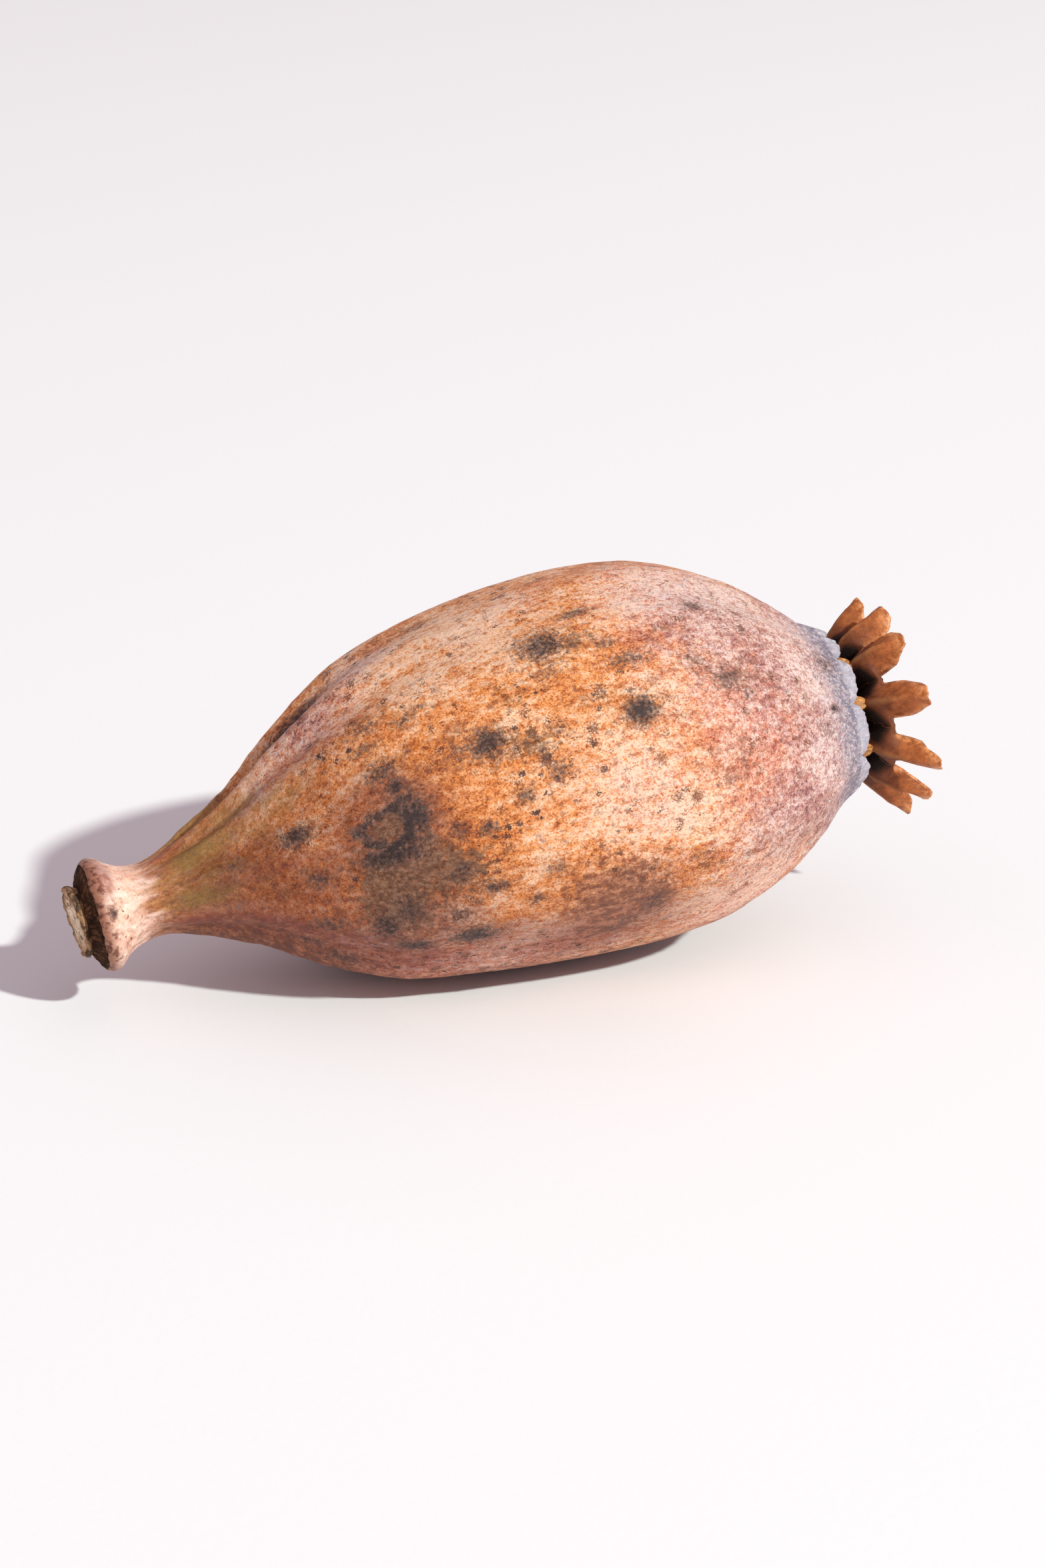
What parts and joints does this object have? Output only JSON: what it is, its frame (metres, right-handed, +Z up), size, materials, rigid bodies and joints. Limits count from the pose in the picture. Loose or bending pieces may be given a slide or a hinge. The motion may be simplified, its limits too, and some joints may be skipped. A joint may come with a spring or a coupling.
{
  "type": "poppy seed head",
  "caption": "Dried poppy seed head lying on its side: a thin-walled hollow pod with a scalloped, pored mouth, a pleated stigma crown and a short broken stalk end.",
  "frame": {"origin": "bottom centre of the bounding box, on the surface the head lies on", "axes": "+X along the head's length, from the broken stalk end to the stigma crown; +Z up"},
  "size_m": [0.0808, 0.0354, 0.0363],
  "materials": {
    "capsule": "dry satin skin with bloom and dark blotches",
    "stigma_crown": "matte, papery",
    "stalk_end": "matte, pithy break"
  },
  "bodies": {
    "root": {"capsule": "capsule", "stigma_crown": "stigma_crown", "stalk_end": "stalk_end"}
  },
  "joints": []
}
